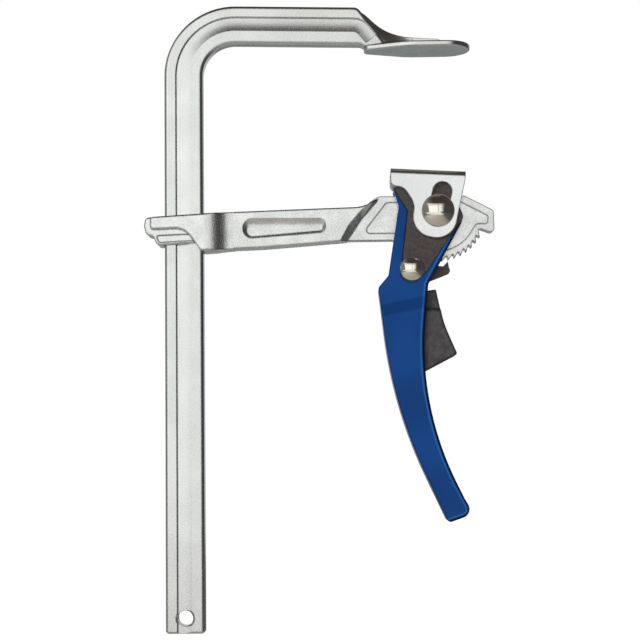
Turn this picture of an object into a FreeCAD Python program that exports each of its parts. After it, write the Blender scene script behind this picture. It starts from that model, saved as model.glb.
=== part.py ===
import FreeCAD, Part
import math
import os

from FreeCAD import Vector

# Ratchet lever bar clamp, in millimetres.
# X runs from the rail towards the jaw tips, Z runs up the rail and the viewer stands at -Y.
# The origin is the middle of the fixed jaw's clamping face. The front and rear halves mirror in Y.

# Rail and fixed jaw, one forging
throat = 134.2
rail_width = 24.0
rail_thickness = 11.5
rail_corner_radius = 2.4
rail_foot_chamfer = 1.2
rail_drop = 359.2
bend_radius = 32.0
jaw_rake_deg = 1.4
jaw_arm_height = 15.9
groove_width = 9.0
groove_depth = 1.5
groove_outer_wall = 0.5
groove_shift = -0.4
hang_hole_radius = 4.75
hang_hole_inset = 9.3
hang_hole_chamfer = 1.1
jaw_pad_length = 66.4
jaw_pad_depth = 32.0
jaw_pad_rim = 3.3
jaw_widest_x = -6.0
jaw_waist = 0.36
jaw_roof_height = 6.2
jaw_ridge_height = 8.8
jaw_ridge_thickness = 3.4

# Sliding arm, one forging
pivot_x = 11.2
pivot_z = -102.5
slide_clearance = 0.3
arm_thickness = 14.0
head_thickness = 23.0
head_web_thickness = 17.0
head_bridge = 12.0
end_plate_thickness = 8.0
arm_edge_radius = 1.2
recess_depth = 1.9
panel_depth = 0.5
web_pocket_depth = 0.8

# Ratchet teeth on the end plate
tooth_tip_radius = 30.3
tooth_depth = 2.7
tooth_pitch_deg = 360.0 / 46
tooth_count = 10
first_tooth_deg = -31.0
tooth_face_deg = 0.9

# Lever, its cam plates and its pins
lever_outer_width = 24.0
lever_wall = 2.0
fork_cheek = 4.6
cam_plate_thickness = 2.4
cam_rise = 8.0
cam_reach = 22.3
cam_from_deg = -56.0
cam_to_deg = 22.0
pad_gap = 0.75
main_rivet_radius = 4.5
main_head_radius = 9.7
main_head_height = 5.0
pawl_rivet_radius = 3.5
pawl_head_radius = 7.4
pawl_head_height = 4.0
pawl_pin_x = -16.4
pawl_pin_z = -35.4
pocket_clearance = 0.1
running_clearance = 0.05
face_play = 0.1
thrust_washer_thickness = 1.0
thrust_washer_radius = 11.0
head_washer_thickness = 0.7
head_washer_radius = 10.1

# Pressure pad, folded from sheet
pad_sheet = 2.5
pad_length = 46.3
pad_overhang = 16.1
pad_lean_deg = 3.2
slot_lean_deg = 10.1
slot_half_width = 5.9
slot_up = 12.3
slot_down = 3.9
pad_lobe_radius = 13.0
pad_bend_radius = 4.4
pad_inner_bend = 0.9
pad_side_play = 0.3

# Pawl, its spring and the release trigger
pawl_thickness = 6.0
pawl_ride_deg = 8.0
sleeve_wall = 1.1
pawl_hub_radius = 7.6
spring_wire = 1.1
spring_sweep_deg = 840.0
spring_turn_gap = 0.45
spring_side_room = 0.8
spring_gap = 0.15
spring_leg = 8.5
trigger_width = 17.0
trigger_stem_width = 9.6
trigger_pin_radius = 1.5
trigger_shoulder = 60.5
trigger_slot_floor = 78.6
upper_pin_drop = 22.0
lower_pin_drop = 31.5

# Sizes that follow from the ones above
rail_x = -(throat + rail_width / 2)
plate_half = end_plate_thickness / 2
cheek_inner = plate_half + thrust_washer_thickness + 2 * face_play
cheek_outer = cheek_inner + fork_cheek
pocket_floor = cheek_outer - cam_plate_thickness
wing_inner = cheek_outer + pad_side_play
wing_outer = wing_inner + pad_sheet
washer_seat = wing_outer + 2 * face_play
head_seat = washer_seat + head_washer_thickness
pad_under = cam_reach + pad_gap
pad_top = pad_under + pad_sheet
tooth_root_radius = tooth_tip_radius - tooth_depth
hook_reach = tooth_tip_radius + 4.9
far = 400.0


def rounded_path(corners):
    """Edges through (x, z) or (x, z, radius) corners, with a tangent arc wherever a radius is given."""
    points = [Vector(c[0], 0, c[1]) for c in corners]
    radii = [c[2] if len(c) > 2 else 0.0 for c in corners]
    edges = []

    def line_to(start, end):
        if start.distanceToPoint(end) > 1e-4:
            edges.append(Part.LineSegment(start, end).toShape())
        return end

    here = points[0]
    for before, corner, after, radius in zip(points, points[1:], points[2:], radii[1:]):
        back, on = (before - corner).normalize(), (after - corner).normalize()
        half = back.getAngle(on) / 2
        reach = radius / math.tan(half)
        start, end = corner + back * reach, corner + on * reach
        here = line_to(here, start)
        if radius:
            middle = corner + (back + on).normalize() * (radius / math.sin(half) - radius)
            edges.append(Part.Arc(here, middle, end).toShape())
            here = end
    line_to(here, points[-1])
    return edges


def outline(*corners):
    """A flat face at Y = 0. The first corner stays sharp."""
    return Part.Face(Part.Wire(rounded_path(list(corners) + [corners[0][:2]])))


def plan(z, *corners):
    """A level loop at height z through (x, y) or (x, y, radius) corners."""
    loop = outline(*corners).OuterWire
    loop.rotate(Vector(0, 0, 0), Vector(1, 0, 0), -90)
    loop.translate(Vector(0, 0, z))
    return loop


def slab(face, near, away):
    """The face as a plate between two Y values."""
    plate = face.copy()
    plate.translate(Vector(0, near, 0))
    return plate.extrude(Vector(0, away - near, 0))


def disc(x, z, radius, near, away):
    return Part.makeCylinder(radius, away - near, Vector(x, near, z), Vector(0, 1, 0))


def mirrored(shape):
    return shape.mirror(Vector(0, 0, 0), Vector(0, 1, 0))


def soften(shape, radius, wanted):
    """Round the edges that the test picks."""
    return shape.makeFillet(radius, [edge for edge in shape.Edges if wanted(edge)])


def on_faces_at(half):
    """A test for edges that lie wholly in the planes Y = half and Y = -half."""
    def test(edge):
        box = edge.BoundBox
        return box.YLength < 1e-6 and abs(abs(box.YMin) - half) < 1e-6
    return test


def at_pivot(face_or_solid):
    placed = face_or_solid.copy()
    placed.translate(Vector(pivot_x, 0, pivot_z))
    return placed


def polar(radius, degrees):
    angle = math.radians(degrees)
    return (radius * math.cos(angle), radius * math.sin(angle))


def save(name, shape):
    solid = shape.removeSplitter()
    if len(solid.Solids) == 1:
        solid = solid.Solids[0]
    print(name, "solids", len(solid.Solids), "valid", solid.isValid(), "volume", round(solid.Volume, 1))
    solid.exportStep("parts/" + name + ".step")
    return solid


os.makedirs("parts", exist_ok=True)


# Rail with the fixed jaw: a bar of one section, grooved on both faces, bent once and forged at its end

rake = math.radians(jaw_rake_deg)
jaw_arm_far_x = -42.0


def arm_axis_z(x):
    """Height of the fixed arm's centre line at x."""
    return jaw_arm_height - (x - jaw_arm_far_x) * math.tan(rake)


def bow_path(foot_z, nose):
    """Centre line from the rail's foot, round the bend and along the arm, then through extra edges."""
    corner = Vector(rail_x, 0, arm_axis_z(rail_x))
    turn = math.pi / 2 + rake
    reach = bend_radius * math.tan(turn / 2)
    up = Vector(rail_x, 0, corner.z - reach)
    along = corner + Vector(math.cos(rake), 0, -math.sin(rake)) * reach
    centre = up + Vector(bend_radius, 0, 0)
    middle = centre + Vector(-math.cos(turn / 2), 0, math.sin(turn / 2)) * bend_radius
    edges = [Part.LineSegment(Vector(rail_x, 0, foot_z), up).toShape(),
             Part.Arc(up, middle, along).toShape()]
    edges.extend(nose(along))
    return Part.Wire(edges)


def straight_nose(start):
    return [Part.LineSegment(start, Vector(jaw_arm_far_x, 0, arm_axis_z(jaw_arm_far_x))).toShape()]


def bar_section(z):
    half_w = rail_width / 2
    half_t = rail_thickness / 2
    blank = Part.makeBox(rail_width, rail_thickness, 1, Vector(rail_x - half_w, -half_t, z))
    rounded = blank.makeFillet(rail_corner_radius, [e for e in blank.Edges if e.BoundBox.ZLength > 0.5])
    return [f for f in rounded.Faces if f.BoundBox.ZLength < 1e-6 and f.BoundBox.ZMin < z + 0.5][0].OuterWire


def groove_section(z):
    """Steep outer wall, a floor that curves up to the inner edge, and a closing line outside the face."""
    face_y = -rail_thickness / 2
    floor_y = face_y + groove_depth
    foot = rail_x + groove_shift - groove_width / 2 + groove_outer_wall
    run = groove_width - groove_outer_wall
    floor_radius = (run ** 2 + groove_depth ** 2) / (2 * groove_depth)
    lip = 1.0

    def on_floor(height):
        """Point of the floor's arc at this height above its deepest line."""
        return Vector(foot + math.sqrt(floor_radius ** 2 - (floor_radius - height) ** 2), floor_y - height, z)

    wall_top = Vector(foot - groove_outer_wall * (1 + lip / groove_depth), face_y - lip, z)
    deepest, inner = on_floor(0.0), on_floor(groove_depth + lip)
    return Part.Wire([Part.LineSegment(wall_top, deepest).toShape(),
                      Part.Arc(deepest, on_floor(groove_depth / 2), inner).toShape(),
                      Part.LineSegment(inner, wall_top).toShape()])


def drooping_nose(start):
    """The groove runs on along the arm and turns down into the jaw."""
    turn_radius = 9.0
    droop = math.radians(50.0)
    bend_start = Vector(-40.0, 0, arm_axis_z(-40.0))
    centre = bend_start + Vector(-math.sin(rake), 0, -math.cos(rake)) * turn_radius

    def on_turn(angle):
        return centre + Vector(math.sin(rake + angle), 0, math.cos(rake + angle)) * turn_radius

    bend_end = on_turn(droop)
    heading = Vector(math.cos(rake + droop), 0, -math.sin(rake + droop))
    return [Part.LineSegment(start, bend_start).toShape(),
            Part.Arc(bend_start, on_turn(droop / 2), bend_end).toShape(),
            Part.LineSegment(bend_end, bend_end + heading * 7.0).toShape()]


def jaw_plan(inset, half_depth, z):
    """Loop of the jaw's plate: round at the tip, narrowing towards the rail."""
    left, right = -jaw_pad_length / 2 + inset, jaw_pad_length / 2 - inset
    waist = half_depth * jaw_waist
    round_end = half_depth - 0.4
    return plan(z, (left, 0), (left, waist, 0.7 * waist), (jaw_widest_x, half_depth, 30.0),
                (right, half_depth, round_end), (right, -half_depth, round_end),
                (jaw_widest_x, -half_depth, 30.0), (left, -waist, 0.7 * waist))


def cross_wire(low, low_half, high, high_half):
    """Four-sided loop across the clamp between two (x, z) points, each with its own half width."""
    points = [Vector(low[0], -low_half, low[1]), Vector(low[0], low_half, low[1]),
              Vector(high[0], high_half, high[1]), Vector(high[0], -high_half, high[1])]
    return Part.makePolygon(points + points[:1])


def rail_bow():
    foot_z = -rail_drop
    half_t = rail_thickness / 2
    half_w = rail_width / 2
    bar = bow_path(foot_z, straight_nose).makePipeShell([bar_section(foot_z)], True, False)
    foot = [e for e in bar.Edges if abs(e.BoundBox.ZMax - foot_z) < 1e-6]
    bar = bar.makeChamfer(rail_foot_chamfer, foot)

    def along_top(x):
        return arm_axis_z(x) + half_w

    def along_under(x):
        return arm_axis_z(x) - half_w

    nose_start = jaw_arm_far_x - rail_width
    brow_x = jaw_arm_far_x + 5.2
    nose_face = outline((nose_start, along_top(nose_start)), (brow_x, along_top(brow_x), 5.0), (-17.2, 1.4),
                        (-31.4, 1.4, 3.0), (-35.4, along_under(-35.4), 4.0),
                        (nose_start, along_under(nose_start)))
    nose = soften(slab(nose_face, -half_t, half_t), rail_corner_radius,
                  lambda e: on_faces_at(half_t)(e) and e.BoundBox.ZMax > 1.5 and e.BoundBox.XLength > 0.1)

    half_depth = jaw_pad_depth / 2
    plate = Part.Face(jaw_plan(0.0, half_depth, 0.0)).extrude(Vector(0, 0, jaw_pad_rim))
    plate = soften(plate, 1.0, lambda e: e.BoundBox.ZLength < 1e-6)
    roof = Part.makeLoft([jaw_plan(1.0, half_depth - 1.0, jaw_pad_rim - 0.2),
                          jaw_plan(9.0, jaw_ridge_thickness, jaw_roof_height)], True, True)
    ridge_half = jaw_ridge_thickness / 2
    brow = (brow_x + 1.2, along_top(brow_x) - 3.0)
    fin = Part.makeLoft([cross_wire((-20.0, 1.0), half_t - 0.3, brow, half_t - 0.8),
                         cross_wire((-17.0, 1.0), half_t - 0.5, (-28.9, 20.0), half_t - 2.6),
                         cross_wire((-13.5, 1.0), half_t - 0.8, (-22.7, 15.0), ridge_half + 0.3),
                         cross_wire((-10.0, 1.0), half_t - 1.2, (-16.5, 11.7), ridge_half),
                         cross_wire((-6.0, 1.0), half_t - 2.0, (-10.3, 9.7), ridge_half),
                         cross_wire((-1.5, 1.0), ridge_half + 0.4, (-3.0, jaw_ridge_height), ridge_half)],
                        True, False)
    ridge_face = outline((-4.0, 2.0), (-4.0, jaw_ridge_height - 0.1), (14.0, jaw_ridge_height - 1.3, 1.0),
                         (17.0, 2.0))
    ridge = slab(ridge_face, -ridge_half + 0.1, ridge_half - 0.1)
    body = bar.fuse([nose, plate, roof, fin, ridge])

    groove_path = bow_path(foot_z - 2.0, drooping_nose)
    groove = groove_path.makePipeShell([groove_section(foot_z - 2.0)], True, False)
    body = body.cut([groove, mirrored(groove)])
    hole_z = foot_z + hang_hole_inset
    mouth = Part.makeCone(hang_hole_radius + hang_hole_chamfer + 1.0, hang_hole_radius,
                          hang_hole_chamfer + 1.0, Vector(rail_x, -half_t - 1.0, hole_z), Vector(0, 1, 0))
    hole = disc(rail_x, hole_z, hang_hole_radius, -half_t - 1, half_t + 1)
    return body.cut([hole, mouth, mirrored(mouth)])


save("rail_bow", rail_bow())


# Sliding arm: a forged head with a window for the rail, a beam with a recess in each face,
# and a thin end plate that carries the pivot and the ratchet teeth. Points are from the pivot.

window_left = rail_x - pivot_x - rail_width / 2 - slide_clearance
window_right = window_left + rail_width + 2 * slide_clearance
window_half = rail_thickness / 2 + slide_clearance
head_left = window_left - head_bridge


def ratchet_outline():
    """End plate: level top, sloping hook, then the toothed arc back to the beam."""
    teeth = []
    for k in range(tooth_count):
        tip = first_tooth_deg - k * tooth_pitch_deg
        root = tip + tooth_pitch_deg - tooth_face_deg
        teeth.append(polar(tooth_root_radius, root))
        teeth.append(polar(tooth_tip_radius, tip))
    last_root = first_tooth_deg - (tooth_count - 1) * tooth_pitch_deg - tooth_face_deg
    teeth.append(polar(tooth_root_radius, last_root))
    return outline((-61.5, -17.0), (-42.0, 7.0), (-36.6, 10.6, 8.0), (16.8, 10.4, 3.0),
                   (hook_reach - 0.4, 1.0, 3.0), (hook_reach, -13.8, 2.6),
                   (*polar(tooth_tip_radius - 2.2, -21.7), 1.0), *teeth, (-28.0, -17.0, 6.0))


def panel_outline():
    """Shallow sunk field inside the end plate's border."""
    inner = tooth_root_radius - 3.6
    arc = [polar(inner / math.cos(math.radians(20.0)), degrees) for degrees in (-45.0, -85.0)]
    return outline((-10.0, 6.6), (14.2, 6.6, 2.0), (hook_reach - 3.8, -2.4, 2.0),
                   (hook_reach - 4.4, -7.3, 1.6), (tooth_root_radius - 3.4, -7.3, 1.6),
                   polar(inner + 0.1, -25.0), (*arc[0], inner), (*arc[1], inner), (-14.0, -22.0, 4.0),
                   (-27.0, -12.6, 4.0), (-44.6, -12.6, 2.2), (-43.9, -9.2, 2.0), (-31.6, 6.6, 2.4))


def tapered_recess(inset):
    """Round-ended recess that narrows away from the rail, drawn this far inside its rim."""
    big, small = 6.4 - inset, 4.4 - inset
    left, right = (-114.4, -8.9), (-73.6, -7.4)
    snug = 0.4
    corners = [(right[0] + small, right[1] + small), (right[0] + small, right[1] - small),
               (left[0] - big, left[1] - big), (left[0] - big, left[1] + big)]
    middle = ((corners[0][0] + corners[3][0]) / 2, (corners[0][1] + corners[3][1]) / 2)
    radii = [small - snug, small - snug, big - snug, big - snug]
    return outline(middle, *[(*corner, radius) for corner, radius in zip(corners, radii)])


def sunk(levels, straight):
    """Solid through outlines at several Y values, each moved up or down: (outline, y, shift) in order."""
    wires = []
    for face, y, shift in levels:
        wire = face.OuterWire
        wire.translate(Vector(0, y, shift))
        wires.append(wire)
    return Part.makeLoft(wires, True, straight)


def beyond_step(share):
    """What lies past the step from the beam (share 0) to the end plate (share 1)."""
    on_beam = [(-62.6, -21.0), (-60.3, -16.8), (-54.9, -6.9, 20.0), (-44.9, 4.2, 20.0), (-39.9, 6.9),
               (-38.0, 14.0)]
    on_plate = [(-58.8, -21.0), (-56.0, -17.1), (-52.5, -12.2, 20.0), (-46.8, -3.5, 20.0), (-37.4, 7.3),
                (-34.0, 14.0)]
    edge = [tuple(a + (b - a) * share for a, b in zip(p, q)) for p, q in zip(on_beam, on_plate)]
    return outline((0.0, -40.0), (-62.6, -40.0), *edge, (0.0, 14.0))


def sliding_arm():
    half = arm_thickness / 2
    beam_face = outline((window_right + 4.0, 1.3), (-85.0, 2.9), (-46.0, 3.9, 24.0), (-36.8, 8.9),
                        (-36.8, -17.0), (-50.0, -17.0), (-60.2, -17.5), (-85.0, -19.3), (-108.0, -20.9),
                        (window_right + 4.0, -22.0))
    beam = soften(slab(beam_face, -half, half), arm_edge_radius,
                  lambda e: on_faces_at(half)(e) and e.BoundBox.XLength > 0.1)
    over = 0.5
    slope = sunk([(beyond_step(-over / (half - plate_half)), -half - over, 0.0),
                  (beyond_step(1.0), -plate_half, 0.0)], True)
    beam = beam.cut([slope, mirrored(slope), slab(beyond_step(1.0), -plate_half, plate_half)])

    plate = slab(ratchet_outline(), -plate_half, plate_half)
    panel = slab(panel_outline(), -plate_half - 1.0, -plate_half + panel_depth)
    boss = disc(0, 0, thrust_washer_radius + 1.5, -plate_half - 2.0, plate_half)
    panel = panel.cut(boss)
    pivot_hole = disc(0, 0, main_rivet_radius + running_clearance, -far, far)
    plate = plate.cut([panel, mirrored(panel), pivot_hole])

    web_half = head_web_thickness / 2
    web_face = outline((window_right + 5.0, 1.2), (window_right + 5.0, -22.0),
                       (window_right + 0.8, -22.0, 2.0), (window_right - 3.6, -17.4, 2.0),
                       (head_left + 8.0, -19.0, 3.4), (head_left + 5.4, -13.2, 2.0),
                       (head_left + 1.2, -12.2, 3.0), (head_left - 0.2, -7.0, 3.0), (head_left + 0.6, -1.4, 3.0))
    web = soften(slab(web_face, -web_half, web_half), arm_edge_radius,
                 lambda e: on_faces_at(web_half)(e) and e.BoundBox.XMin < window_right + 4)

    cheek_half = head_thickness / 2
    cheek_face = outline((-126.0, 1.5), (-126.0, -21.5), (-146.6, -22.8, 4.0), (-156.4, -8.4, 12.0),
                         (head_left + 4.0, -9.2, 2.0), (head_left + 4.0, -1.4, 2.0))
    cheek_plan = plan(-40.0, (head_left, 0.0), (head_left, cheek_half), (-139.5, cheek_half, 18.0),
                      (-131.0, half, 18.0), (-126.0, half), (-126.0, -half), (-131.0, -half, 18.0),
                      (-139.5, -cheek_half, 18.0), (head_left, -cheek_half))
    cheek = soften(slab(cheek_face, -cheek_half, cheek_half), arm_edge_radius,
                   lambda e: on_faces_at(cheek_half)(e) and e.BoundBox.XLength > 0.1)
    cheek = cheek.common(Part.Face(cheek_plan).extrude(Vector(0, 0, 80)))

    pocket_face = outline((window_right - 12.0, -12.2), (window_right - 6.6, -12.4, 1.0),
                          (window_right - 4.6, -15.9, 1.0), (head_left + 9.2, -17.2, 1.6),
                          (head_left + 7.4, -12.8, 1.0))
    web_pocket = slab(pocket_face, -web_half - 1.0, -web_half + web_pocket_depth)
    web = web.cut([web_pocket, mirrored(web_pocket)])

    body = beam.fuse([plate, web, cheek])
    window = Part.makeBox(window_right - window_left, 2 * window_half, 80,
                          Vector(window_left, -window_half, -60))
    recess = sunk([(tapered_recess(-1.3), -half - 0.8, 0.3), (tapered_recess(0.0), -half, 0.0),
                   (tapered_recess(1.7), -half + 0.7 * recess_depth, -0.8),
                   (tapered_recess(3.2), -half + recess_depth, -2.0)], False)
    return at_pivot(body.cut([window, recess, mirrored(recess)]))


save("sliding_arm", sliding_arm())


# Main rivet with its washers and bushes, and the washers beside the end plate

def ring(outer, inner, near, away, x=0.0, z=0.0):
    return disc(x, z, outer, near, away).cut(disc(x, z, inner, near - 1, away + 1))


def domed_head(radius, height, seat, x=0.0, z=0.0):
    """Rivet head on the plane Y = -seat, with a short straight rim under its dome."""
    rim = 0.7
    rise = height - rim
    ball = (radius ** 2 + rise ** 2) / (2 * rise)
    flank = math.asin(radius / ball) / 2
    through = Vector(ball * math.sin(flank), -seat - rim - rise + ball * (1 - math.cos(flank)), 0)
    foot, edge = Vector(0, -seat, 0), Vector(radius, -seat, 0)
    shoulder, crown = Vector(radius, -seat - rim, 0), Vector(0, -seat - height, 0)
    section = Part.Face(Part.Wire([Part.LineSegment(foot, edge).toShape(),
                                   Part.LineSegment(edge, shoulder).toShape(),
                                   Part.Arc(shoulder, through, crown).toShape(),
                                   Part.LineSegment(crown, foot).toShape()]))
    head = section.revolve(Vector(0, 0, 0), Vector(0, 1, 0), 360)
    head.translate(Vector(x, 0, z))
    return head


main_bore = main_rivet_radius + running_clearance
bush_radius = slot_half_width - running_clearance
main_shank = disc(0, 0, main_rivet_radius, -head_seat, head_seat)
main_head = domed_head(main_head_radius, main_head_height, head_seat)
save("main_rivet", at_pivot(main_shank.fuse([main_head, mirrored(main_head)])))

thrust_washer = ring(thrust_washer_radius, main_bore, -cheek_inner + face_play, -plate_half - face_play)
guide_bush = ring(bush_radius, main_bore, -wing_outer - face_play, -cheek_outer - face_play)
head_washer = ring(head_washer_radius, main_bore, -head_seat, -washer_seat)
for part_name, piece in (("thrust_washer", thrust_washer), ("guide_bush", guide_bush),
                         ("head_washer", head_washer)):
    save(part_name + "_front", at_pivot(piece))
    save(part_name + "_rear", at_pivot(mirrored(piece)))


# Cam plates: their top edge is an involute, so the pad rises by the same amount for each degree

def cam_point(degrees, reach):
    """Point of the cam whose tangent faces the pad once the lever has turned by this angle."""
    turn = math.radians(degrees)
    lean = turn - math.radians(pad_lean_deg)
    support = reach + cam_rise * turn
    return (-support * math.sin(lean) - cam_rise * math.cos(lean),
            support * math.cos(lean) - cam_rise * math.sin(lean))


def cam_face(corners, reach):
    """A face bounded by the corners, from the cam's right end round to its left end, and by the cam."""
    steps = 8
    angles = [cam_to_deg + (cam_from_deg - cam_to_deg) * k / steps for k in range(steps + 1)]
    points = [Vector(x, 0, z) for x, z in (cam_point(a, reach) for a in angles)]
    curve = Part.BSplineCurve()
    curve.interpolate(points)
    rest = rounded_path([(points[-1].x, points[-1].z)] + corners + [(points[0].x, points[0].z)])
    return Part.Face(Part.Wire(rest + [curve.toShape()]))


def cam_plate_face():
    tail = pawl_rivet_radius + 3.2
    x, z = pawl_pin_x, pawl_pin_z
    return cam_face([(13.0, 4.0, 6.0), (15.8, -4.0, 3.0), (6.5, -16.4), (x + 9.4, z - 1.0, 6.0),
                     (x + 1.0, z - 1.33 * tail, 4.0), (x - tail - 0.5, z - 6.0, 5.0), (-18.4, 0.6, 4.0),
                     (-26.4, 13.6, 1.0), (-25.0, 16.6, 1.0)], cam_reach)


cam_plate = slab(cam_plate_face(), -cheek_outer, -pocket_floor)
cam_plate = cam_plate.cut([disc(0, 0, main_bore, -far, far),
                           disc(pawl_pin_x, pawl_pin_z, pawl_rivet_radius + running_clearance, -far, far)])
save("cam_plate_front", at_pivot(cam_plate))
save("cam_plate_rear", at_pivot(mirrored(cam_plate)))


# Lever: a pressed fork with sunk pockets for the cam plates, widening to a channel-shaped grip

grip_back_radius = 285.0
grip_front_radius = 188.0
grip_shoulder = (-37.4, -47.0)
grip_back_corner = (-28.9, -121.4)
grip_heel = (3.4, -190.9)
grip_toe = (18.8, -185.6)
grip_lip = (13.2, -176.0)
grip_toe_radius = 5.5
grip_front_corner = (-13.9, -119.4)
grip_neck = (-6.6, -45.0)


def lever_face():
    return cam_face([(13.0, 4.6, 4.0), (14.8, -6.6, 4.0), (*grip_neck, 5.0),
                     (*grip_front_corner, grip_front_radius), (*grip_lip, 2.0), (*grip_toe, grip_toe_radius),
                     (*grip_heel, 2.5), (*grip_back_corner, grip_back_radius), (*grip_shoulder, 3.0),
                     (-30.9, -39.4, 4.0), (-24.0, 3.6, 5.0), (-27.4, 14.4, 1.0)], cam_reach - 1.4)


def joggle_cut(low_y, high_y, low_s):
    """What lies outside the sheet above the joggle, on the front side, across the whole lever."""
    slope = math.radians(11.0)
    along = Vector(math.cos(slope), 0, math.sin(slope))
    up = Vector(-math.sin(slope), 0, math.cos(slope))
    base = Vector(-22.0, 0, -62.5) - along * 60
    profile = [(low_s, low_y), (low_s + 7.5, high_y), (low_s + 150, high_y), (low_s + 150, 40),
               (low_s - 0.5, 40), (low_s - 0.5, low_y)]
    points = [base + up * s + Vector(0, -y, 0) for s, y in profile]
    return Part.Face(Part.makePolygon(points + points[:1])).extrude(along * 120)


def channel_face():
    """Space inside the grip's web, open away from the rail and right through between the fork's cheeks."""
    wall = lever_wall
    return outline((-80.0, 60.0), (-80.0, grip_shoulder[1] - 0.6),
                   (grip_shoulder[0] + wall, grip_shoulder[1] - 0.6),
                   (grip_back_corner[0] + wall, grip_back_corner[1] + 0.4, grip_back_radius - wall),
                   (grip_heel[0] + 1.4, grip_heel[1] + wall, 2.0),
                   (grip_toe[0] - wall, grip_toe[1] + wall, grip_toe_radius - wall),
                   (grip_lip[0] - wall, grip_lip[1] + 1.0), (60.0, grip_lip[1] + 8.0), (60.0, 60.0))


def lever_shell():
    half = lever_outer_width / 2
    outside = soften(slab(lever_face(), -half, half), 1.2,
                     lambda e: on_faces_at(half)(e) and e.BoundBox.ZMin < -42)
    step_out = joggle_cut(half, cheek_outer, 0.0)
    outside = outside.cut([step_out, mirrored(step_out)])
    inner_half = half - lever_wall
    step_in = joggle_cut(inner_half, cheek_inner, 1.5)
    space = slab(channel_face(), -inner_half, inner_half).cut([step_in, mirrored(step_in)])
    pocket = slab(cam_plate_face().makeOffset2D(pocket_clearance), -far, -pocket_floor)
    bores = [disc(0, 0, main_bore, -far, far),
             disc(pawl_pin_x, pawl_pin_z, pawl_rivet_radius + running_clearance, -far, far)]
    return outside.cut([space, pocket, mirrored(pocket)] + bores)


save("lever_shell", at_pivot(lever_shell()))


# Pressure pad: sheet folded over the fork, with a slot in each wing. Points are along and across its top.

slot_lean = math.radians(slot_lean_deg)


def along_slot(distance, aside=0.0):
    return (distance * math.sin(slot_lean) + aside * math.cos(slot_lean),
            distance * math.cos(slot_lean) - aside * math.sin(slot_lean))


def slot_face():
    w = slot_half_width
    low, high = -slot_down, slot_up
    return outline(along_slot(0, -w), (*along_slot(high + w, -w), w), (*along_slot(high + w, w), w),
                   (*along_slot(low - w, w), w), (*along_slot(low - w, -w), w))


def wing_face():
    left = pad_overhang - pad_length
    r = pad_lobe_radius
    low = -slot_down - r
    return outline((0.0, pad_top), (pad_overhang, pad_top), (pad_overhang - 0.2, 19.4, 8.0),
                   (*along_slot(low, r - 0.4), r - 0.5), (*along_slot(low, -r - 0.6), r - 0.5),
                   (-14.4, 3.6, 12.0), (-21.4, 13.4, 7.0), (left + 0.6, 14.5, 3.8), (left, 20.0, 2.0),
                   (left, pad_top))


def pressure_pad():
    block = slab(wing_face(), -wing_outer, wing_outer)
    block = soften(block, pad_bend_radius,
                   lambda e: e.BoundBox.YLength < 1e-6 and e.BoundBox.ZMin > pad_top - 1e-6)
    inside = Part.makeBox(2 * far, 2 * wing_inner, far + pad_under, Vector(-far, -wing_inner, -far))
    inside = soften(inside, pad_inner_bend,
                    lambda e: e.BoundBox.YLength < 1e-6 and e.BoundBox.ZMin > pad_under - 1e-6)
    pad = block.cut([inside, slab(slot_face(), -far, far)])
    pad.rotate(Vector(0, 0, 0), Vector(0, 1, 0), pad_lean_deg)
    return at_pivot(pad)


save("pressure_pad", pressure_pad())


# Pawl rivet, the sleeve between the cheeks, and the pawl that turns on the sleeve

def around_pawl_pin(shape, degrees):
    turned = shape.copy()
    turned.rotate(Vector(pawl_pin_x, 0, pawl_pin_z), Vector(0, 1, 0), degrees)
    return turned


pawl_shank = disc(pawl_pin_x, pawl_pin_z, pawl_rivet_radius, -cheek_outer, cheek_outer)
pawl_head = domed_head(pawl_head_radius, pawl_head_height, cheek_outer, pawl_pin_x, pawl_pin_z)
save("pawl_rivet", at_pivot(pawl_shank.fuse([pawl_head, mirrored(pawl_head)])))

sleeve_radius = pawl_rivet_radius + running_clearance + sleeve_wall
sleeve_half = cheek_inner - face_play
save("pawl_sleeve", at_pivot(ring(sleeve_radius, pawl_rivet_radius + running_clearance,
                                  -sleeve_half, sleeve_half, pawl_pin_x, pawl_pin_z)))

spring_mean = sleeve_radius + 0.3 + spring_wire / 2
spring_pitch = spring_wire + spring_turn_gap
spring_start_y = cheek_inner - spring_side_room - spring_wire / 2

spring_end_y = spring_start_y - spring_pitch * spring_sweep_deg / 360
hub_top = spring_end_y - spring_wire / 2 - spring_gap
trigger_pin_places = [(pawl_pin_x + 2.6, pawl_pin_z - upper_pin_drop),
                      (pawl_pin_x + 2.8, pawl_pin_z - lower_pin_drop)]


def pawl_face():
    """Drawn with its nose seated against a tooth: hub, nose and the tail that carries the trigger."""
    x, z, r = pawl_pin_x, pawl_pin_z, pawl_hub_radius
    seat = first_tooth_deg - 6 * tooth_pitch_deg - tooth_face_deg
    nose = polar(tooth_root_radius + 0.25, seat - 0.6)
    front = polar(tooth_tip_radius + 1.4, seat + 0.2)
    back = polar(tooth_tip_radius + 0.7, seat - tooth_pitch_deg + 1.4)
    under_teeth = polar(tooth_tip_radius + 0.9, seat - 18.0)
    return outline(nose, front, (8.0, -33.9, 2.2), (-4.0, -40.6, 1.0), (x + 7.2, z - 10.0, 4.0),
                   (x + 5.6, z - 36.0, 2.0), (x + 0.2, z - 36.6, 2.0), (x - r, z - 4.0, 5.0),
                   (x - r, z + r, r - 0.2), (x + 2.2, z + r, 5.0), under_teeth, back)


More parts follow.
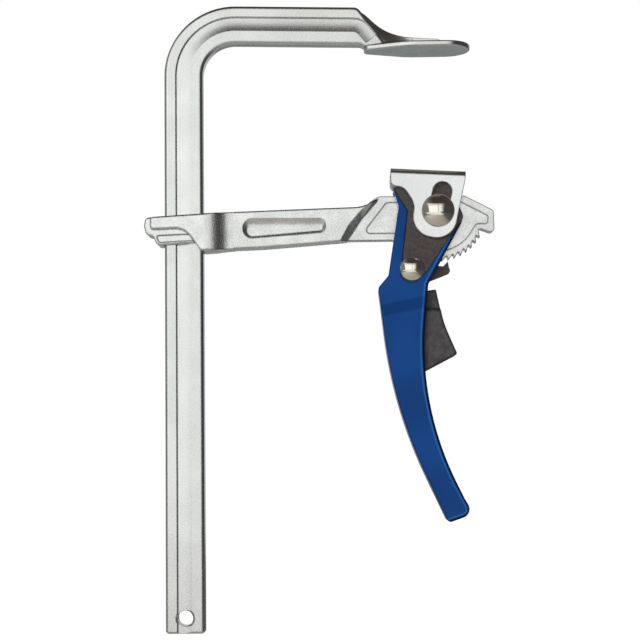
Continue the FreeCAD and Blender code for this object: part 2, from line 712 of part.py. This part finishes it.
def pawl():
    half = pawl_thickness / 2
    x, z = pawl_pin_x, pawl_pin_z
    blade = slab(pawl_face(), -half, half)
    hub = disc(x, z, pawl_hub_radius, -sleeve_half, hub_top)
    spring_seat = disc(x, z, spring_mean + spring_wire / 2 + 0.5, hub_top, far)
    leg_relief = slab(outline((x - 9.0, z + 3.6), (x + 5.6, z + 3.6), (x + 5.6, z + 9.0), (x - 9.0, z + 9.0)),
                      hub_top - 0.6, far)
    pin_hole = trigger_pin_radius + running_clearance
    body = blade.fuse(hub).cut([spring_seat, leg_relief, disc(x, z, sleeve_radius + running_clearance, -far, far)])
    return body.cut([disc(px, pz, pin_hole, -far, far) for px, pz in trigger_pin_places])


save("pawl", at_pivot(around_pawl_pin(pawl(), pawl_ride_deg)))


# Torsion spring beside the pawl's hub: close turns on the sleeve and two tangent legs

def biarc(start, start_way, end, end_way):
    """Two arcs that join smoothly and leave and arrive in the given directions."""
    span = end - start
    ways = start_way + end_way
    a = ways.dot(ways) - 4
    b = -2 * span.dot(ways)
    c = span.dot(span)
    reach = (-b - math.sqrt(b * b - 4 * a * c)) / (2 * a)
    if reach < 0:
        reach = (-b + math.sqrt(b * b - 4 * a * c)) / (2 * a)
    first, last = start + start_way * reach, end - end_way * reach
    joint = (first + last) * 0.5
    arcs = []
    for p, q, corner in ((start, joint, first), (joint, end, last)):
        chord_mid = (p + q) * 0.5
        half_chord = p.distanceToPoint(q) / 2
        rise = corner.distanceToPoint(chord_mid)
        tangent = p.distanceToPoint(corner)
        sagitta = half_chord * (tangent - half_chord) / rise
        through = chord_mid + (corner - chord_mid).normalize() * sagitta
        arcs.append(Part.Arc(p, through, q).toShape())
    return arcs


def pawl_spring():
    mean, pitch = spring_mean, spring_pitch
    begin = math.radians(-60.0)
    total = math.radians(spring_sweep_deg)
    pieces = round(spring_sweep_deg / 84)
    climb = -pitch / (2 * math.pi)

    def point(turn):
        angle = begin + turn
        return Vector(pawl_pin_x + mean * math.cos(angle), spring_start_y + climb * turn,
                      pawl_pin_z + mean * math.sin(angle))

    def way(turn):
        angle = begin + turn
        return Vector(-mean * math.sin(angle), climb, mean * math.cos(angle)).normalize()

    turns = [total * k / pieces for k in range(pieces + 1)]
    edges = [Part.LineSegment(point(0) - way(0) * spring_leg, point(0)).toShape()]
    for here, there in zip(turns, turns[1:]):
        edges.extend(biarc(point(here), way(here), point(there), way(there)))
    edges.append(Part.LineSegment(point(total), point(total) + way(total) * spring_leg).toShape())
    path = Part.Wire(edges)
    start = edges[0].Vertexes[0].Point
    ring_wire = Part.Wire(Part.Circle(start, way(0), spring_wire / 2).toShape())
    tube = path.makePipeShell([ring_wire], True, False)
    samples = path.discretize(Number=400)
    beyond = int(400 * 2 * math.pi * mean * 0.6 / path.Length)
    nearest = min(a.distanceToPoint(b) for i, a in enumerate(samples) for b in samples[i + beyond:])
    print("spring volume", round(tube.Volume, 2), "section x length",
          round(math.pi * spring_wire ** 2 / 4 * path.Length, 2),
          "least gap between turns", round(nearest - spring_wire, 3))
    return tube


save("pawl_spring", at_pivot(pawl_spring()))


# Release trigger: moulded, slotted over the pawl's tail and held by two cross pins

def trigger_face():
    """Drawn where it stands with the pawl just clear of the teeth."""
    return outline((-9.6, -49.0), (-1.8, -48.0, 0.8), (2.7, -69.6, 60.0), (10.6, -88.2, 1.4), (-3.3, -95.4),
                   (-11.0, -99.4, 3.0), (-18.4, -95.0, 3.0), (-19.8, -60.0, 6.0), (-15.0, -50.0, 2.0))


def release_trigger():
    wide = trigger_width / 2
    slim = trigger_stem_width / 2
    full = slab(trigger_face(), -wide, wide)
    full = full.cut(Part.makeBox(2 * far, 2 * far, far, Vector(-far, -far, -trigger_shoulder)))
    stem = slab(trigger_face(), -slim, slim)
    body = full.fuse(stem)
    tail = slab(pawl_face(), -pawl_thickness / 2 - face_play, pawl_thickness / 2 + face_play)
    above_floor = Part.makeBox(2 * far, 2 * far, far, Vector(-far, -far, -trigger_slot_floor))
    slot = around_pawl_pin(tail, pawl_ride_deg).common(above_floor)
    pins = [around_pawl_pin(disc(px, pz, trigger_pin_radius + running_clearance, -far, far), pawl_ride_deg)
            for px, pz in trigger_pin_places]
    return body.cut([slot] + pins)


save("release_trigger", at_pivot(release_trigger()))

pin_half = trigger_stem_width / 2
pins = [around_pawl_pin(disc(px, pz, trigger_pin_radius, -pin_half, pin_half), pawl_ride_deg)
        for px, pz in trigger_pin_places]
save("trigger_pins", at_pivot(Part.makeCompound(pins)))
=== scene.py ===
import math

import bpy
from mathutils import Matrix, Vector

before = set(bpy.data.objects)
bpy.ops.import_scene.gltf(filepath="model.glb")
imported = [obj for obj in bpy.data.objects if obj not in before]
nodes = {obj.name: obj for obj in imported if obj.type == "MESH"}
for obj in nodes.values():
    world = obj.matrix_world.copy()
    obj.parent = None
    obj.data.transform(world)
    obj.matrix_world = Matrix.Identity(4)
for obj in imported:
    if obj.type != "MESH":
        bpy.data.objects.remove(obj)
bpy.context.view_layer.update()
bpy.ops.object.select_all(action="DESELECT")


# Camera. The clamp hangs a metre in front of a long lens, seen from slightly below, with the
# rail upright in the picture.

aim = Vector((-0.062384, 0.0, -0.168192))
stand_off = 1.0
turn = math.radians(1.07)
rise = math.radians(-4.5)
roll = math.radians(-0.6)
lens_mm = 90.73
sensor_mm = 36.0

bpy.ops.object.camera_add()
camera = bpy.context.object
camera.name = "viewpoint"
camera.data.lens = lens_mm
camera.data.sensor_width = sensor_mm
camera.data.clip_start = 0.01
facing = (Matrix.Rotation(turn, 4, "Z") @ Matrix.Rotation(math.pi / 2 - rise, 4, "X")
          @ Matrix.Rotation(roll, 4, "Z"))
camera.matrix_world = Matrix.Translation(aim + facing @ Vector((0, 0, stand_off))) @ facing
bpy.context.scene.camera = camera
bpy.context.scene.view_settings.view_transform = "Standard"


# Studio. Two softboxes hang side by side in front of the clamp over a pale table, and the ceiling,
# the room and the right are dark, so that bright metal faces the camera and its turned edges go dark.

class Shade:
    """A socket in a node tree. Sums on it add Math nodes, and node() adds any other node."""

    def __init__(self, tree, socket=None):
        self.tree = tree
        self.socket = socket

    def node(self, kind, settings=None, inputs=None, output=0):
        made = self.tree.nodes.new("ShaderNode" + kind)
        for name, value in (settings or {}).items():
            setattr(made, name, value)
        for name, value in (inputs or {}).items():
            if isinstance(value, Shade):
                self.tree.links.new(value.socket, made.inputs[name])
            else:
                made.inputs[name].default_value = value
        return Shade(self.tree, made.outputs[output]) if made.outputs else self

    def math(self, operation, a, b=0.0):
        return self.node("Math", {"operation": operation}, {0: a, 1: b})

    def __add__(self, other):
        return self.math("ADD", self, other)

    def __radd__(self, other):
        return self.math("ADD", other, self)

    def __sub__(self, other):
        return self.math("SUBTRACT", self, other)

    def __rsub__(self, other):
        return self.math("SUBTRACT", other, self)

    def __mul__(self, other):
        return self.math("MULTIPLY", self, other)

    def __rmul__(self, other):
        return self.math("MULTIPLY", other, self)

    def ramp(self, low, high):
        """0 below low, 1 above high and a soft curve between."""
        return self.node("MapRange", {"interpolation_type": "SMOOTHSTEP"},
                         {"Value": self, "From Min": low, "From Max": high})

    def mix(self, a, b):
        """Colour a where this is 0 and b where it is 1."""
        return self.node("Mix", {"data_type": "RGBA"}, {0: self, 6: a, 7: b}, 2)

    def ray(self, kind):
        """1 on the light paths of one kind."""
        return self.node("LightPath", output="Is " + kind + " Ray")

    def axis(self, place, k):
        return self.node("SeparateXYZ", inputs={0: place}, output=k)


def rgb(red, green, blue):
    return (red, green, blue, 1.0)


white = rgb(1, 1, 1)
box_tone = rgb(1.16, 1.17, 1.16)
low_tone = rgb(0.25, 0.28, 0.275)
ceiling_tone = rgb(0.050, 0.043, 0.036)
left_tone = rgb(0.20, 0.20, 0.20)
right_tone = rgb(0.055, 0.055, 0.06)
between_boxes = 0.60
right_box = 0.88
box_top = 0.55
backdrop_in_metal = 0.55
kept_from_diffuse = 0.45

world = bpy.data.worlds.new("studio")
bpy.context.scene.world = world
world.use_nodes = True
world.node_tree.nodes.clear()
sky = Shade(world.node_tree)
way = sky.node("TexCoord")  # its parts are cosines: to the right, into the picture and up
across, into, up = (sky.axis(way, k) for k in range(3))
wide = (across.ramp(-0.80, -0.72) - across.ramp(-0.06, -0.01) * (1.0 - between_boxes)
        + across.ramp(0.05, 0.09) * (right_box - between_boxes) - across.ramp(0.18, 0.60) * right_box)
high = up.ramp(-0.20, -0.14) - up.ramp(0.38, 0.58) * (1.0 - box_top) - up.ramp(0.60, 0.66) * box_top
softboxes = wide * high * (0.0 - into).ramp(0.0, 0.1)
tone = up.ramp(-0.60, -0.10).mix(low_tone, ceiling_tone)
tone = (0.0 - across).ramp(0.3, 0.9).mix(tone, left_tone)
tone = across.ramp(0.4, 0.9).mix(tone, right_tone)
tone = softboxes.mix(tone, box_tone)
behind = into.ramp(0.6, 0.95)
seen = sky.ray("Camera") + sky.ray("Transmission") + sky.ray("Glossy") * behind * backdrop_in_metal
strength = 1.0 - sky.ray("Diffuse") * kept_from_diffuse
back = sky.node("Background", inputs={0: seen.mix(tone, white), 1: strength})
sky.node("OutputWorld", inputs={"Surface": back})

table_size = 8.0
table_z = -0.56
table_glow = 1.12
table_seen = 0.9
table_in_metal = 0.06
sweep_in_metal = 0.70

bpy.ops.mesh.primitive_plane_add(size=table_size, location=(0, 0, table_z))
floor = bpy.context.object
floor.name = "floor"
paper = bpy.data.materials.new("pale_floor")
paper.use_nodes = True
paper.node_tree.nodes.clear()
table = Shade(paper.node_tree)
spot = table.node("TexCoord", output="Object")
aside, depth = (table.axis(spot, k) for k in (0, 1))
card = depth.ramp(-0.1, 0.5).mix(rgb(0.60, 0.57, 0.52), rgb(0.56, 0.63, 0.61))
card = aside.ramp(0.25, 0.75).mix(card, rgb(0.07, 0.075, 0.085))
lit = table.node("BsdfDiffuse", inputs={"Color": card})
glow = table.node("Emission", inputs={"Color": white, "Strength": table_glow})
sweep = (1.0 - depth.ramp(-1.35, -0.90)) * (1.0 - aside.ramp(0.5, 1.0))
seen = ((table.ray("Camera") + table.ray("Transmission")) * table_seen
        + table.ray("Glossy") * (table_in_metal + sweep * sweep_in_metal))
surface = table.node("MixShader", inputs={0: seen, 1: lit, 2: glow})
table.node("OutputMaterial", inputs={"Surface": surface})
floor.data.materials.append(paper)

lamp_aim = Vector((0.0, 0.0, -0.12))


def soft_lamp(name, place, width, height, watts):
    """A rectangular lamp that faces the sliding jaw. The softboxes stand for it in reflections."""
    bpy.ops.object.light_add(type="AREA", location=place)
    lamp = bpy.context.object
    lamp.name = name
    lamp.data.shape = "RECTANGLE"
    lamp.data.size = width
    lamp.data.size_y = height
    lamp.data.energy = watts
    lamp.visible_glossy = False
    lamp.rotation_euler = (Vector(place) - lamp_aim).to_track_quat("Z", "Y").to_euler()


soft_lamp("key", (-0.85, -1.10, 0.35), width=0.9, height=0.6, watts=14.0)
soft_lamp("fill", (0.80, -1.00, -0.30), width=0.9, height=0.9, watts=2.0)
soft_lamp("back", (0.30, 1.30, 0.30), width=1.2, height=0.9, watts=9.0)


# Rail and fixed jaw. A rolled bar with a groove down each face, bent once and forged at its end,
# then shot-blasted and plated, which leaves a fine even grain.

def new_finish(name):
    """An empty material, its nodes and the place of a point on the piece."""
    made = bpy.data.materials.new(name)
    made.use_nodes = True
    made.node_tree.nodes.clear()
    shade = Shade(made.node_tree)
    return made, shade, shade.node("TexCoord", output="Object")


def finish(made, shade, **inputs):
    named = {name.replace("_", " ").title().replace("Ior", "IOR"): value for name, value in inputs.items()}
    shade.node("OutputMaterial", inputs={"Surface": shade.node("BsdfPrincipled", inputs=named)})
    return made


def noise(shade, place, scale, detail=3.0, roughness=0.55):
    return shade.node("TexNoise", inputs={"Vector": place, "Scale": scale, "Detail": detail,
                                          "Roughness": roughness})


def softened(shade, radius):
    """The surface's normal with its edges rounded off by the radius."""
    return shade.node("Bevel", {"samples": 6}, {"Radius": radius})


def bumped(shade, height, depth, strength, edge_radius):
    """The softened normal with a grain on it, depth metres deep."""
    return shade.node("Bump", inputs={"Height": height, "Distance": depth, "Strength": strength,
                                      "Normal": softened(shade, edge_radius)})


slight_turn = 0.003
clear_turn = 0.06


def along_edges(shade, radius):
    """1 on edges and corners and 0 on open faces, from one less the cosine that the normal turns by."""
    normals = {0: softened(shade, radius), 1: shade.node("NewGeometry", output="Normal")}
    same = shade.node("VectorMath", {"operation": "DOT_PRODUCT"}, normals, "Value")
    return (1.0 - same).ramp(slight_turn, clear_turn)


def plated_finish(name, grain_scale, grain_depth, edge_radius, dark, light, rough, cloud_scale=55.0):
    """Bright plating over a shot-blasted grain, with slow changes of tone, and painted shade darkening its
    edges and corners.
    """
    painted_edge_shade = rgb(0.10, 0.10, 0.10)
    painted_shade_reach = 1.4 * edge_radius
    made, shade, place = new_finish(name)
    grain = noise(shade, place, grain_scale, roughness=0.6)
    cloud = noise(shade, place, cloud_scale).ramp(0.35, 0.68)
    speck = grain.ramp(0.36, 0.62)
    tone = (cloud * 0.45 + speck * 0.55).mix(dark, light)
    # Painted shade: edges and corners darken towards a dark grey.
    tone = (along_edges(shade, painted_shade_reach) * 0.8).mix(tone, painted_edge_shade)
    return finish(made, shade, base_color=tone, metallic=1.0, roughness=rough + (grain - 0.5) * 0.25,
                  normal=bumped(shade, grain, grain_depth, strength=0.7, edge_radius=edge_radius))


def dress(material, *names):
    for name in names:
        slots = nodes[name].data.materials
        slots.clear()
        slots.append(material)


dress(plated_finish("plated_rail", grain_scale=1500.0, grain_depth=0.00006, edge_radius=0.0005,
                    dark=rgb(0.68, 0.69, 0.68), light=rgb(0.81, 0.82, 0.81), rough=0.25), "rail_bow")


# Sliding arm. A steel forging that hangs on the rail by the window in its head and carries the teeth
# at its other end. Its skin is coarser than the rail's under the same plating.

dress(plated_finish("plated_forging", grain_scale=1000.0, grain_depth=0.00012, edge_radius=0.0010,
                    dark=rgb(0.66, 0.67, 0.66), light=rgb(0.92, 0.93, 0.92), rough=0.27,
                    cloud_scale=110.0), "sliding_arm")


# Main rivet, its washers and the guide bushes. A bright rivet headed over turned steel washers,
# the outer two dark with painted shade round the rivet's heads, with the bushes between them that ride in
# the pad's slots.

def bright_finish(name, colour, rough):
    smeared = rgb(*(0.86 * c for c in colour))
    made, shade, place = new_finish(name)
    smear = noise(shade, place, scale=220.0)
    return finish(made, shade, base_color=smear.mix(smeared, rgb(*colour)), metallic=1.0,
                  roughness=rough + smear * 0.08,
                  normal=bumped(shade, smear, depth=0.00003, strength=0.4, edge_radius=0.0002))


rivet_finish = bright_finish("headed_rivet", (0.95, 0.90, 0.80), rough=0.04)
washer_finish = bright_finish("bright_washer", (0.72, 0.72, 0.72), rough=0.22)
dress(rivet_finish, "main_rivet")
dress(washer_finish, "thrust_washer_front", "thrust_washer_rear", "guide_bush_front", "guide_bush_rear")
# The head washers get a dark colour as painted shade round the rivet's heads.
dress(bright_finish("painted_shade_washer", (0.34, 0.31, 0.27), rough=0.20), "head_washer_front", "head_washer_rear")


# Cam plates and pawl. Cut from plate and hardened, which leaves a dull, warm grey skin. The plates
# lie in pockets in the lever's cheeks, and the pawl turns between them.

def hardened_finish():
    scale_dark, scale_light = rgb(0.060, 0.050, 0.050), rgb(0.112, 0.092, 0.090)
    made, shade, place = new_finish("hardened_steel")
    mottle = noise(shade, place, scale=420.0, detail=5.0, roughness=0.65)
    return finish(made, shade, base_color=mottle.ramp(0.3, 0.7).mix(scale_dark, scale_light), metallic=0.55,
                  roughness=0.42 + mottle * 0.2,
                  normal=bumped(shade, mottle, depth=0.00008, strength=0.5, edge_radius=0.0003))


dress(hardened_finish(), "cam_plate_front", "cam_plate_rear", "pawl")


# Lever. Pressed steel sheet under a smooth blue coating. The edge that the fingers pull on is rolled over,
# and along it a thin painted highlight runs inside a dark band of painted shade; painted shade darkens the
# lever's other edges too.

rim_radius = 0.188
rim_centre = (0.189525, -0.188038)
rim_top = (0.002424, -0.169680)
top_way = (0.0976, 0.9952)
rim_foot = (0.019960, -0.269226)
foot_way = (0.4698, -0.8828)
fork_neck = (0.0046, -0.1475)
neck_inward = (-0.8735, 0.4868)
toe = (0.0300, -0.2881)
toe_inward = (-0.3254, 0.9455)
toe_radius = 0.0055
# Widths in metres of the painted shade band and of the painted highlight line inside the pulled edge.
painted_shade_band = (0.0011, 0.0017)
painted_highlight_start = (0.0015, 0.0020)
painted_highlight_end = (0.0022, 0.0031)


def inside_rim(shade, place):
    """How far a point of the lever lies inside its rolled edge, up to the toe's radius. The edge is
    an arc that runs straight on past its top and its foot, with the neck above and the toe below."""
    x, z = (shade.axis(place, k) for k in (0, 2))

    def past(point, way):
        return (x - point[0]) * way[0] + (z - point[1]) * way[1]

    def larger(a, b):
        return shade.math("MAXIMUM", a, b)

    def length(a, b):
        return shade.math("SQRT", a * a + b * b)

    arc = length(x - rim_centre[0], z - rim_centre[1]) - rim_radius
    above = shade.math("GREATER_THAN", past(rim_top, top_way))
    below = shade.math("GREATER_THAN", past(rim_foot, foot_way))
    inside = (arc + above * (past(rim_top, (-top_way[1], top_way[0])) - arc)
              + below * (past(rim_foot, (foot_way[1], -foot_way[0])) - arc))
    inside = larger(inside, past(fork_neck, neck_inward))
    side = larger(toe_radius - inside, 0.0)
    foot = larger(toe_radius - past(toe, toe_inward), 0.0)
    return toe_radius - length(side, foot)


def enamel_finish():
    blue_low, blue_high = rgb(0.004, 0.048, 0.21), rgb(0.005, 0.064, 0.27)
    painted_highlight_blue = rgb(0.016, 0.13, 0.42)
    painted_shade_blue = rgb(0.002, 0.013, 0.055)
    made, shade, place = new_finish("blue_enamel")
    peel = noise(shade, place, scale=260.0, detail=2.0)
    inside = inside_rim(shade, place)
    # Painted highlight: a thin lighter blue line just inside the pulled edge.
    painted_highlight = inside.ramp(*painted_highlight_start) - inside.ramp(*painted_highlight_end)
    coat = noise(shade, place, scale=22.0, detail=1.0).ramp(0.3, 0.7).mix(blue_low, blue_high)
    coat = painted_highlight.mix(coat, painted_highlight_blue)
    # Painted shade: a dark navy band along the pulled edge, and darker edges and corners all round.
    coat = inside.ramp(*painted_shade_band).mix(painted_shade_blue, coat)
    coat = (along_edges(shade, 0.0014) * 0.75).mix(coat, painted_shade_blue)
    return finish(made, shade, base_color=coat, metallic=0.55, roughness=0.26 + peel * 0.08,
                  specular_ior_level=0.10, coat_weight=0.15, coat_roughness=0.10,
                  normal=bumped(shade, peel, depth=0.00004, strength=0.35, edge_radius=0.0018))


dress(enamel_finish(), "lever_shell")


# Pressure pad. Bright plated sheet steel, folded so that its wings hang over the fork on both
# sides, each with a slot for the rivet. Rolling left it a finer grain than the forgings have.

dress(plated_finish("plated_sheet", grain_scale=1800.0, grain_depth=0.00003, edge_radius=0.0009,
                    dark=rgb(0.86, 0.87, 0.87), light=rgb(0.93, 0.94, 0.94), rough=0.17), "pressure_pad")


# Pawl rivet, sleeve, pins and spring. A second headed rivet through the fork, with a turned sleeve
# on it for the pawl, a coiled wire spring, and two plain pins that hold the trigger.

dress(rivet_finish, "pawl_rivet")
dress(washer_finish, "pawl_sleeve", "trigger_pins", "pawl_spring")


# Release trigger. Moulded in black plastic with a fine spark-eroded skin, and pinned to the tail
# of the pawl.

def moulded_finish():
    # The last colour is painted shade for the trigger's edges.
    black, bloomed, painted_trigger_edge_shade = rgb(0.040, 0.036, 0.037), rgb(0.105, 0.098, 0.098), rgb(0.008, 0.007, 0.007)
    made, shade, place = new_finish("black_moulding")
    skin = noise(shade, place, scale=1300.0)
    bloom = noise(shade, place, scale=260.0, detail=5.0, roughness=0.65)
    tone = bloom.ramp(0.32, 0.78).mix(black, bloomed)
    # Painted shade darkens the trigger's edges and corners.
    return finish(made, shade, base_color=along_edges(shade, 0.0030).mix(tone, painted_trigger_edge_shade), metallic=0.0,
                  roughness=0.42 + skin * 0.16,
                  normal=bumped(shade, skin, depth=0.00006, strength=0.5, edge_radius=0.0022))


dress(moulded_finish(), "release_trigger")
